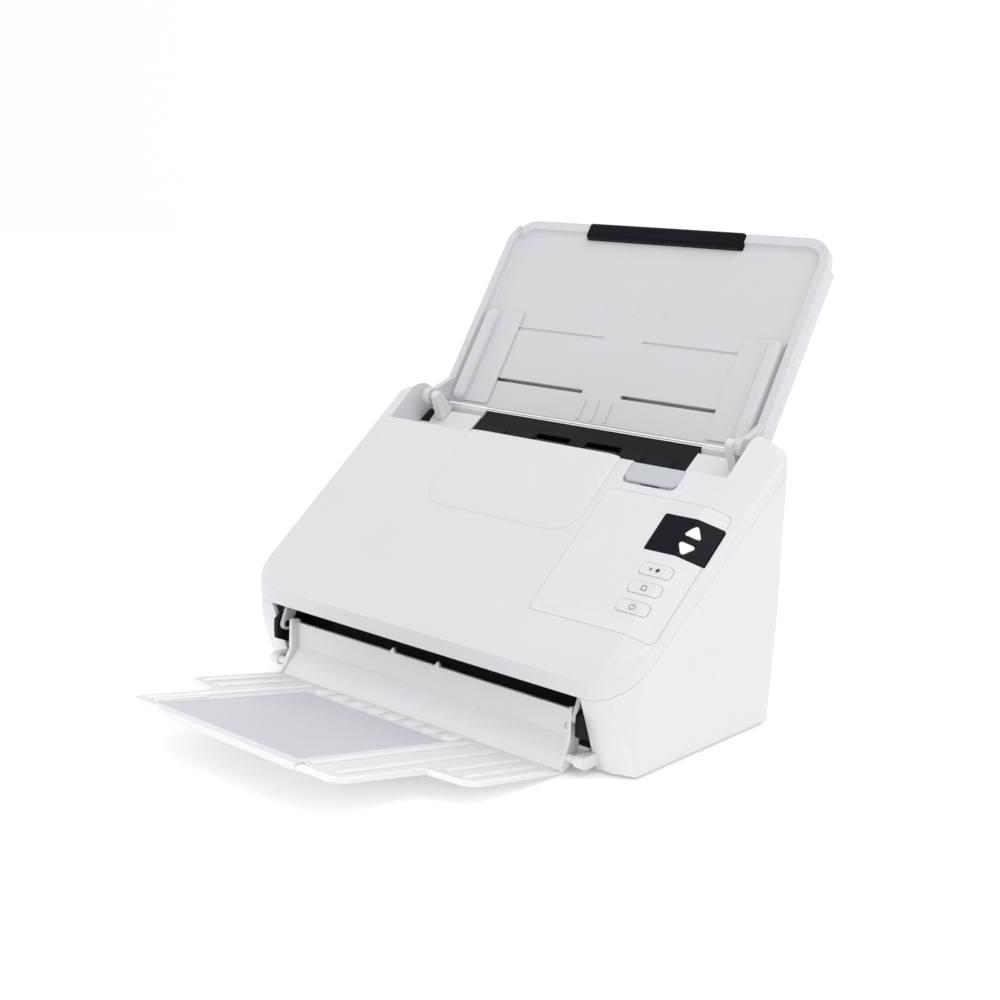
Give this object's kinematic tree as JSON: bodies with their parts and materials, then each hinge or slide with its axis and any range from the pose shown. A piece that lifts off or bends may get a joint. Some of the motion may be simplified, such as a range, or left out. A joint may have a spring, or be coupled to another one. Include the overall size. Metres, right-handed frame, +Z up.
{
  "type": "sheet fed document scanner",
  "caption": "Desktop sheet fed scanner with sloping hinged lid, folding input tray with sliding guides, control panel, feed rollers and fold-up output tray.",
  "frame": {"origin": "middle of the bounding box in X and Y with both trays open, at the underside of the feet", "axes": "+X to the right seen from the front, +Y to the back, +Z up"},
  "size_m": [0.316, 0.3946, 0.2991],
  "materials": {
    "white": "fine satin moulded plastic",
    "lid_white": "fine satin moulded plastic",
    "panel_white": "smooth printed overlay",
    "grey": "satin grey plastic",
    "pale_grey": "fine matte grain",
    "black": "satin black plastic",
    "gloss_black": "polished black window",
    "key_white": "smooth key caps",
    "rubber": "matte rubber",
    "steel": "zinc plated sheet",
    "glass": "sensor glass",
    "board": "solder mask",
    "tin": "tinned shell"
  },
  "bodies": {
    "base": {"housing": "white", "bottom_plate": "pale_grey", "foot_1": "rubber", "foot_2": "rubber", "foot_3": "rubber", "foot_4": "rubber", "exit_frame": "black", "frame_plate_left": "steel", "frame_plate_right": "steel", "sheet_deck": "white", "feed_unit": "black", "hinge_post_left": "white", "hinge_post_right": "white", "lower_sensor": "black", "lower_glass": "glass", "motor": "steel", "drive_belt": "rubber", "main_board": "board", "usb_port": "tin", "power_inlet": "black"},
    "lid": {"lid_cover": "lid_white", "lid_liner": "pale_grey", "control_panel": "panel_white", "display_window": "gloss_black", "upper_sensor": "black", "upper_glass": "glass"},
    "latch": {"release_latch": "grey"},
    "key_up": {"key_up": "key_white"},
    "key_down": {"key_down": "key_white"},
    "button_power": {"button_power": "panel_white"},
    "button_scan": {"button_scan": "panel_white"},
    "button_function": {"button_function": "panel_white"},
    "input_tray": {"input_tray": "white", "input_tray_back": "white"},
    "tray_extension": {"tray_extension": "white", "tray_extension_grip": "black"},
    "guide_left": {"guide_left": "white"},
    "guide_right": {"guide_right": "white"},
    "guide_pinion": {"guide_pinion": "pale_grey"},
    "output_tray": {"output_tray": "white", "output_inset": "pale_grey"},
    "output_stop": {"output_stop": "white"},
    "pickup_roller": {"pickup_roller": "rubber"},
    "feed_roller": {"feed_roller": "rubber"},
    "transport_roller": {"transport_roller": "rubber"},
    "exit_roller": {"exit_roller": "rubber"},
    "separation_roller": {"separation_roller": "rubber"},
    "transport_idler": {"transport_idler": "rubber"},
    "exit_idler": {"exit_idler": "rubber"}
  },
  "joints": [
    {"name": "input_tray_fold", "type": "hinge", "parent": "base", "child": "input_tray", "pos_m": [0, 0.09692, 0.174], "axis": [-1, 0, 0], "range_deg": [-158, 0]},
    {"name": "tray_extension_slide", "type": "slide", "parent": "input_tray", "child": "tray_extension", "axis": [0, 0.5165, 0.8563], "range_m": [0, 0.07]},
    {"name": "guide_left_slide", "type": "slide", "parent": "input_tray", "child": "guide_left", "axis": [1, 0, 0], "range_m": [0, 0.062]},
    {"name": "guide_right_slide", "type": "slide", "parent": "input_tray", "child": "guide_right", "axis": [1, 0, 0], "range_m": [-0.062, 0]},
    {"name": "guide_pinion_spin", "type": "hinge", "parent": "input_tray", "child": "guide_pinion", "pos_m": [0, 0.12905, 0.18663], "axis": [0, -0.8563, 0.5165], "range_deg": [0, 480]},
    {"name": "lid_open", "type": "hinge", "parent": "base", "child": "lid", "pos_m": [0, -0.04308, 0.034], "axis": [1, 0, 0], "range_deg": [0, 50]},
    {"name": "latch_slide", "type": "slide", "parent": "lid", "child": "latch", "axis": [0, -0.7627, -0.6468], "range_m": [0, 0.002], "stiffness_N_per_m": 200, "springref_m": -0.002},
    {"name": "output_tray_fold", "type": "hinge", "parent": "base", "child": "output_tray", "pos_m": [0, -0.04508, 0.009], "axis": [1, 0, 0], "range_deg": [-80, 0]},
    {"name": "output_stop_slide", "type": "slide", "parent": "output_tray", "child": "output_stop", "axis": [0, -0.9857, 0.1685], "range_m": [0, 0.035]},
    {"name": "key_up_press", "type": "slide", "parent": "lid", "child": "key_up", "axis": [0, 0.6468, -0.7627], "range_m": [0, 0.0008], "stiffness_N_per_m": 500, "springref_m": -0.001},
    {"name": "key_down_press", "type": "slide", "parent": "lid", "child": "key_down", "axis": [0, 0.6468, -0.7627], "range_m": [0, 0.0008], "stiffness_N_per_m": 500, "springref_m": -0.001},
    {"name": "button_power_press", "type": "slide", "parent": "lid", "child": "button_power", "axis": [0, 0.6468, -0.7627], "range_m": [0, 0.0008], "stiffness_N_per_m": 500, "springref_m": -0.001},
    {"name": "button_scan_press", "type": "slide", "parent": "lid", "child": "button_scan", "axis": [0, 0.6468, -0.7627], "range_m": [0, 0.0008], "stiffness_N_per_m": 500, "springref_m": -0.001},
    {"name": "button_function_press", "type": "slide", "parent": "lid", "child": "button_function", "axis": [0, 0.6468, -0.7627], "range_m": [0, 0.0008], "stiffness_N_per_m": 500, "springref_m": -0.001},
    {"name": "feed_roller_spin", "type": "hinge", "parent": "base", "child": "feed_roller", "pos_m": [0, 0.07218, 0.12575], "axis": [1, 0, 0], "continuous": true},
    {"name": "pickup_roller_spin", "type": "hinge", "parent": "base", "child": "pickup_roller", "pos_m": [0, 0.10093, 0.14742], "axis": [1, 0, 0], "continuous": true},
    {"name": "transport_roller_spin", "type": "hinge", "parent": "base", "child": "transport_roller", "pos_m": [0, 0.04183, 0.10288], "axis": [1, 0, 0], "continuous": true},
    {"name": "exit_roller_spin", "type": "hinge", "parent": "base", "child": "exit_roller", "pos_m": [0, -0.02126, 0.05534], "axis": [1, 0, 0], "continuous": true},
    {"name": "separation_roller_spin", "type": "hinge", "parent": "lid", "child": "separation_roller", "pos_m": [0, 0.06152, 0.13989], "axis": [1, 0, 0], "continuous": true},
    {"name": "transport_idler_spin", "type": "hinge", "parent": "lid", "child": "transport_idler", "pos_m": [0, 0.03322, 0.11431], "axis": [1, 0, 0], "continuous": true},
    {"name": "exit_idler_spin", "type": "hinge", "parent": "lid", "child": "exit_idler", "pos_m": [0, -0.02987, 0.06676], "axis": [1, 0, 0], "continuous": true}
  ],
  "couplings": [
    {"joint": "guide_right_slide", "follows": "guide_left_slide", "ratio": -1},
    {"joint": "guide_pinion_spin", "follows": "guide_left_slide", "rad_per_m": 133.33},
    {"joint": "pickup_roller_spin", "follows": "feed_roller_spin", "ratio": 1},
    {"joint": "transport_roller_spin", "follows": "feed_roller_spin", "ratio": 1},
    {"joint": "exit_roller_spin", "follows": "feed_roller_spin", "ratio": 1},
    {"joint": "separation_roller_spin", "follows": "feed_roller_spin", "ratio": -1.0476},
    {"joint": "transport_idler_spin", "follows": "feed_roller_spin", "ratio": -1.76},
    {"joint": "exit_idler_spin", "follows": "feed_roller_spin", "ratio": -1.76}
  ]
}
